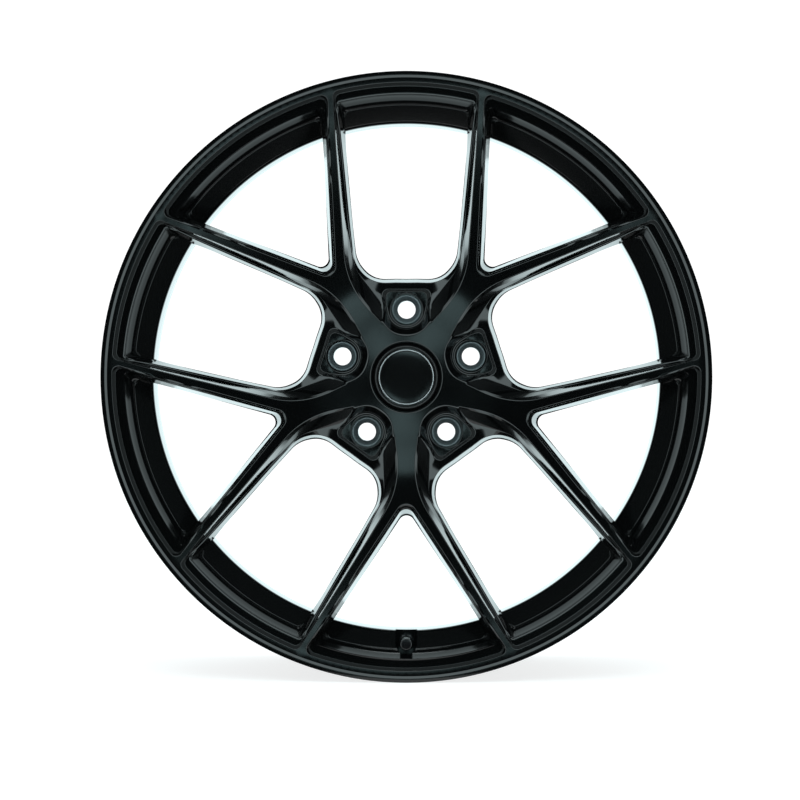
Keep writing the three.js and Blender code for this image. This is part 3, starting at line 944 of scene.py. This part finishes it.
def exact_normal(co):
    """The normal on the face and on the back, whose depths follow from the radius alone."""
    x, z, depth = co.x / MM, co.z / MM, co.y / MM - LIP_Y
    r = math.hypot(x, z)
    for rule, side, r_min, r_max in ((FACE, -1.0, 30.0, 243.0), (BACK, 1.0, 79.0, 225.0)):
        if r_min < r < r_max and abs(depth - eased(rule, r)) < 0.004:
            slope = (eased(rule, r + 0.5) - eased(rule, r - 0.5)) * -side
            return Vector((slope * x / r, side, slope * z / r)).normalized()
    return None


face_obj = show("forging_face", face_data, "wheel", "satin_black", "hub_center",
                *[f"spoke_{i + 1}" for i in range(5)])
settle(face_obj, exact_normal)
show("forging_rim", rim_data, "wheel", "satin_black", "outboard_flange", "rim_barrel",
     "inboard_flange")

# ---------------------------------------------------------------- bolt seats, centring ring

seat = soften([(11.1, 46.0, 0.25), (SEAT_R, 46.0, 0.2), (SEAT_R, 60.0, 0.4), (7.4, 60.0, 0.3),
               (7.4, 52.4, 0.6)], steps=4)
for i in range(5):
    a = STEP * i
    data = lathe(f"seat_{i + 1}", seat, 96, (LUG_R * math.sin(a), LUG_R * math.cos(a)))
    show(f"bolt_seat_{i + 1}", data, "wheel", "seat_metal", f"lug_seat_{i + 1}", weighted=False)

ring = soften([(33.3, 62.0), (33.3, 74.2), (34.1, 75.0), (35.65, 75.0), (36.25, 74.4),
               (36.25, 62.0)], default=0.2)
show("centring_ring", lathe("centring_ring", ring, 160), "wheel", "nylon", "hub_centring_ring")

# ---------------------------------------------------------------- centre cap

cap = soften([(0, 28.7, 0), (24.85, 28.7, 0.2), (24.85, 27.2, 0.2), (25.4, 26.95, 0.2),
              (28.2, 29.75, 0.12), (28.5, 31.0, 0.2), (26.6, 31.0, 0.3), (26.6, 38.0, 0.6),
              (27.1, 40.5, 0.6), (25.6, 44.0, 0.5), (24.3, 44.0, 0.3), (24.3, 31.2, 0.4),
              (0, 31.2, 0)], closed=False)
show("cap_shell", lathe("cap_shell", cap, 160), "centre_cap", "cap_black", "cap_body")
disc = [(0, 26.5), (8, 26.505), (16, 26.52), (21.0, 26.54), (21.2, 26.62),
        (21.3, 26.85), (21.3, 27.6), (23.1, 27.6), (23.1, 26.95), (23.2, 26.86), (24.3, 26.87),
        (24.5, 26.98), (24.6, 27.3), (24.6, 28.4), (0, 28.4)]
show("cap_disc", lathe("cap_disc", disc, 160), "centre_cap", "cap_black", "cap_emblem")
BEAD_STEPS = 12
trim = [(21.8, 27.3)]
for i in range(BEAD_STEPS + 1):
    a = math.pi * i / BEAD_STEPS
    trim.append((22.2 - 0.4 * math.cos(a), 26.9 - 0.25 * math.sin(a)))
trim.append((22.6, 27.3))
show("cap_ring", lathe("cap_ring", trim, 160), "centre_cap", "silver", "cap_trim_ring")


def tube(name, points, radius, sides=12):
    """A round wire through points, with closed ends. Points are (x, z, depth)."""
    soup_wire = Soup()
    rings = []
    pts = [Vector(p) for p in points]
    for i, p in enumerate(pts):
        d = (pts[min(i + 1, len(pts) - 1)] - pts[max(i - 1, 0)]).normalized()
        side_a = d.cross(Vector((0, 0, 1)))
        side_a = side_a.normalized() if side_a.length > 1e-6 else Vector((1, 0, 0))
        side_b = d.cross(side_a).normalized()
        ring_pts = []
        for k in range(sides):
            a = 2 * math.pi * k / sides
            ring_pts.append(p + (side_a * math.cos(a) + side_b * math.sin(a)) * radius)
        rings.append([*ring_pts, ring_pts[0]])
    soup_wire.rings(rings)
    soup_wire.faces += [rings[0][:-1], rings[-1][:-1]]
    return soup_wire.mesh(name)


wire_points = []
for i in range(121):
    a = mix(-1.4, 4.4, i / 120)
    wire_points.append((23.1 * math.cos(a), 23.1 * math.sin(a), 41.0))
show("cap_wire", tube("cap_wire", wire_points, 0.78), "centre_cap", "spring_steel",
     "cap_spring_ring")

# ---------------------------------------------------------------- valve

AT_VALVE = (0.0, -VALVE_R)


def thread(front, back, major, minor, pitch, segments=48):
    """Outer skin of a threaded stretch as rings that climb once per pitch, ends level."""
    per = 6
    rows = int((back - front) / pitch * per)
    rings = []
    for j in range(rows + 1):
        ring_pts = []
        for i in range(segments):
            a = 2 * math.pi * i / segments
            depth = mix(front, back, j / rows)
            phase = (j / per + i / segments) % 1.0
            tooth = 1 - abs(2 * phase - 1)
            ends = min(1.0, j / 3, (rows - j) / 3)
            r = mix(major, minor, tooth * ends)
            ring_pts.append(Vector((r * math.sin(a), -VALVE_R + r * math.cos(a), depth)))
        rings.append([*ring_pts, ring_pts[0]])
    return rings


def circle_ring(r, depth, segments=48):
    """A ring about the valve's axis."""
    pts = []
    for i in range(segments):
        a = 2 * math.pi * i / segments
        pts.append(Vector((r * math.sin(a), -VALVE_R + r * math.cos(a), depth)))
    return [*pts, pts[0]]


STEM_MOUTH = (2.7, 29.5)
STEM_FRONT = [STEM_MOUTH, (2.7, 14.2), (2.85, 14.0), (3.3, 14.0)]
STEM_BACK = [(3.95, 37.9), (3.95, 50.7), (4.1, 50.9), (6.0, 50.9), (6.1, 51.0), (6.1, 52.6),
             (5.9, 52.8), (4.2, 53.5), (3.9, 53.6), (1.7, 53.6), (1.6, 53.5), (1.6, 31.0),
             STEM_MOUTH]
stem = Soup()
stem.rings([*(circle_ring(*p) for p in STEM_FRONT), *thread(14.6, 37.6, 3.95, 3.5, 0.8),
            *(circle_ring(*p) for p in STEM_BACK)])
show("valve_body", stem.mesh("valve_body"), "wheel", "anodised", "valve_stem", weighted=False)
grommet = soften([(4.25, 48.3), (6.5, 48.3, 0.5), (6.5, 50.6, 0.5), (4.25, 50.6)], default=0.2)
show("valve_seal", lathe("valve_seal", grommet, 64, AT_VALVE), "wheel", "valve_rubber",
     "valve_grommet")
washer = soften([(4.25, 38.7), (6.6, 38.7), (6.6, 39.7), (4.25, 39.7)], default=0.18)
show("valve_plate", lathe("valve_plate", washer, 64, AT_VALVE), "wheel", "anodised", "valve_washer")


def hexagon_nut(front, back, corner_r, bore_r, segments=72):
    """A nut whose hexagon is cut by circles at both ends, which bevels its corners."""
    soup_nut = Soup()
    half_flat = math.pi / 6
    flat_r = corner_r * math.cos(half_flat)
    bevel = 0.45

    def out_ring(cap_r, depth):
        pts = []
        for i in range(segments):
            a = 2 * math.pi * i / segments
            local = (a + half_flat) % (2 * half_flat) - half_flat
            r = min(flat_r / math.cos(local), cap_r)
            a += half_flat
            pts.append(Vector((r * math.cos(a), -VALVE_R + r * math.sin(a), depth)))
        return [*pts, pts[0]]

    def in_ring(r, depth):
        pts = []
        for i in range(segments):
            a = 2 * math.pi * i / segments + half_flat
            pts.append(Vector((r * math.cos(a), -VALVE_R + r * math.sin(a), depth)))
        return [*pts, pts[0]]

    soup_nut.rings([
        in_ring(bore_r, back - 0.2), in_ring(bore_r, front + 0.3), in_ring(bore_r + 0.3, front),
        out_ring(flat_r - 0.1, front), out_ring(flat_r + 0.15, front + 0.12),
        out_ring(corner_r - 0.1, front + bevel), out_ring(corner_r, front + bevel + 0.15),
        out_ring(corner_r, back - bevel), out_ring(flat_r + 0.1, back),
        in_ring(bore_r + 0.2, back), in_ring(bore_r, back - 0.2)])
    return soup_nut.mesh("nut")


show("valve_hexagon", hexagon_nut(34.4, 38.4, 6.4, 4.25), "wheel", "anodised", "valve_nut",
     weighted=False)


def ribbed_cap():
    """The valve's cap: a rounded front, a ribbed grip and a rim at the back."""
    segments, ribs = 144, 24
    outside = [(2.6, 11.6, 0), (3.9, 11.63, 0), (4.35, 11.75, 0), (4.75, 12.1, 0), (4.9, 12.5, 0),
               (4.95, 13.4, 0), (5.0, 13.9, 0.28), (5.0, 21.6, 0.28), (4.98, 22.2, 0),
               (5.0, 22.6, 0), (4.85, 22.95, 0), (4.4, 23.0, 0)]
    inside = [(4.25, 22.8, 0), (4.25, 12.6, 0), (2.0, 12.6, 0)]

    def ring(r, depth, rib):
        pts = []
        for i in range(segments):
            a = 2 * math.pi * i / segments
            rr = r - rib * (0.5 + 0.5 * math.cos(ribs * a))
            pts.append(Vector((rr * math.sin(a), -VALVE_R + rr * math.cos(a), depth)))
        return [*pts, pts[0]]

    def middle(depth):
        return [Vector((0, -VALVE_R, depth))] * (segments + 1)

    soup_cap = Soup()
    soup_cap.rings([middle(outside[0][1]), *(ring(*p) for p in outside),
                    *(ring(*p) for p in inside), middle(inside[-1][1])])
    return soup_cap.mesh("ribbed")


show("valve_dust_cap", ribbed_cap(), "valve_cap", "anodised", "valve_cap")

# The core's spring, drawn at one length (in the real core it shortens as the pin goes in); its end
# turns lie closed.
SPRING_FRONT, SPRING_BACK = 17.62, 23.6
spring_points = []
for i in range(181):
    t = i / 180
    a = 2 * math.pi * 6.5 * t
    depth = mix(SPRING_FRONT, SPRING_BACK, eased([(0, 0), (0.15, 0.075), (0.85, 0.925), (1, 1)], t))
    spring_points.append((1.25 * math.cos(a), -VALVE_R + 1.25 * math.sin(a), depth))
spring = show("core_spring", tube("core_spring", spring_points, 0.19), "wheel", "spring_steel",
              "valve_core_spring", weighted=False)
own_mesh(spring)

for node, name in (("valve_core_barrel", "valve_brass"), ("valve_core_pin", "valve_brass"),
                   ("valve_core_seal", "valve_rubber"), ("valve_cap_seal", "valve_rubber")):
    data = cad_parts[node].data
    data.materials.clear()
    data.materials.append(FINISH[name])

# ---------------------------------------------------------------- floor, sky, camera

FLOOR_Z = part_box("outboard_flange")[0].z
FLOOR_REACH = 9.0
FRONT_Y = LIP_Y * MM
NEAR_X, NEAR_FRONT, NEAR_BACK = 0.35, FRONT_Y - 0.06, FRONT_Y


def floor_finish():
    """Pale floor that glows a little, so that it stays as light as the background."""
    m = bpy.data.materials.new("floor")
    m.use_nodes = True
    nodes, links = m.node_tree.nodes, m.node_tree.links
    nodes.clear()
    out = nodes.new("ShaderNodeOutputMaterial")
    add = nodes.new("ShaderNodeAddShader")
    diffuse = nodes.new("ShaderNodeBsdfDiffuse")
    diffuse.inputs["Color"].default_value = (0.4, 0.4, 0.4, 1)
    glow = nodes.new("ShaderNodeEmission")
    glow.inputs["Color"].default_value = (1, 1, 1, 1)
    glow.inputs["Strength"].default_value = 0.78
    links.new(diffuse.outputs[0], add.inputs[0])
    links.new(glow.outputs[0], add.inputs[1])
    links.new(add.outputs[0], out.inputs["Surface"])
    return m


def floor_piece(name, rectangles, mirrored):
    """Part of the floor, made of rectangles (x0, x1, y0, y1)."""
    verts, faces = [], []
    for x0, x1, y0, y1 in rectangles:
        faces.append(tuple(range(len(verts), len(verts) + 4)))
        verts += [(x0, y0, FLOOR_Z), (x1, y0, FLOOR_Z), (x1, y1, FLOOR_Z), (x0, y1, FLOOR_Z)]
    data = bpy.data.meshes.new(name)
    data.from_pydata(verts, [], faces)
    data.materials.append(FLOOR_FINISH)
    obj = bpy.data.objects.new(name, data)
    scene.collection.objects.link(obj)
    obj.visible_glossy = mirrored


FLOOR_FINISH = floor_finish()
# only the floor close to the wheel shows in its gloss
floor_piece("floor_near", [(-NEAR_X, NEAR_X, NEAR_FRONT, NEAR_BACK)], True)
floor_piece("floor", [(-FLOOR_REACH, -NEAR_X, -FLOOR_REACH, FLOOR_REACH),
                      (NEAR_X, FLOOR_REACH, -FLOOR_REACH, FLOOR_REACH),
                      (-NEAR_X, NEAR_X, -FLOOR_REACH, NEAR_FRONT),
                      (-NEAR_X, NEAR_X, NEAR_BACK, FLOOR_REACH)], False)

world = bpy.data.worlds.new("studio")
scene.world = world
world.use_nodes = True
nodes, links = world.node_tree.nodes, world.node_tree.links
nodes.clear()
out = nodes.new("ShaderNodeOutputWorld")
choose = nodes.new("ShaderNodeMixShader")
path = nodes.new("ShaderNodeLightPath")
white = nodes.new("ShaderNodeBackground")
white.inputs["Color"].default_value = (1, 1, 1, 1)
white.inputs["Strength"].default_value = 1.15
studio = nodes.new("ShaderNodeBackground")
where = nodes.new("ShaderNodeTexCoord")
split = nodes.new("ShaderNodeSeparateXYZ")
links.new(where.outputs["Generated"], split.inputs[0])
ramp = nodes.new("ShaderNodeValToRGB")
ramp.color_ramp.interpolation = "EASE"
span = nodes.new("ShaderNodeMapRange")
span.inputs["From Min"].default_value = -1.0
span.inputs["From Max"].default_value = 1.0
links.new(split.outputs["Y"], span.inputs["Value"])
links.new(span.outputs["Result"], ramp.inputs["Fac"])
stops = ramp.color_ramp.elements
# how bright the studio is, from straight behind the camera (0) to straight behind the wheel (1)
BRIGHT = [(0.0, 0.003), (0.05, 0.004), (0.105, 0.98), (0.25, 0.98), (0.35, 0.018), (0.7, 0.018),
          (0.74, 0.24), (0.79, 0.36), (0.86, 0.4), (0.895, 0.85), (0.93, 0.85), (0.965, 0.62),
          (1.0, 0.62)]
stops[0].position, stops[1].position = BRIGHT[0][0], BRIGHT[-1][0]
for position, _ in BRIGHT[1:-1]:
    stops.new(position)
for stop, (_, level) in zip(stops, BRIGHT):
    stop.color = (level * 0.82, level * 0.98, level, 1)
links.new(ramp.outputs["Color"], studio.inputs["Color"])
studio.inputs["Strength"].default_value = 2.7
links.new(path.outputs["Is Camera Ray"], choose.inputs[0])
links.new(studio.outputs[0], choose.inputs[1])
links.new(white.outputs[0], choose.inputs[2])
links.new(choose.outputs[0], out.inputs["Surface"])


def area(name, location, target, size, power, color):
    """A round lamp that faces its target."""
    light = bpy.data.lights.new(name, "AREA")
    light.shape = "DISK"
    light.size = size
    light.energy = power
    light.color = color
    obj = bpy.data.objects.new(name, light)
    scene.collection.objects.link(obj)
    obj.location = location
    obj.rotation_mode = "QUATERNION"
    obj.rotation_quaternion = (Vector(target) - Vector(location)).to_track_quat("-Z", "Y")


area("top_light", (0.0, 0.45, 2.4), (0, 0, 0), 1.6, 26, (0.9, 1.0, 1.0))
for i, turn in enumerate((0.0, 2.0, 3.0)):
    a = STEP * turn
    place = (0.19 * math.sin(a), FRONT_Y - 2.32, 0.19 * math.cos(a))
    area(f"front_{i + 1}", place, (0, FRONT_Y, 0), 0.17, 0.14, (0.68, 1.0, 1.03))

# Camera: level with the hub, straight on, from about 2.3 m
camera = bpy.data.cameras.new("camera")
camera.sensor_width = 36.0
camera.lens = 127.5
camera.clip_start, camera.clip_end = 0.05, 60
camera_obj = bpy.data.objects.new("camera", camera)
scene.collection.objects.link(camera_obj)
scene.camera = camera_obj
eye = Vector((0.024, FRONT_Y - 2.3, -0.009))
# the picture's middle lies a little left of and below the wheel's centre
aim = Vector((-0.00484, FRONT_Y, -0.01873))
look = aim - eye
camera_obj.location = eye
camera_obj.rotation_mode = "QUATERNION"
camera_obj.rotation_quaternion = look.to_track_quat("-Z", "Y")
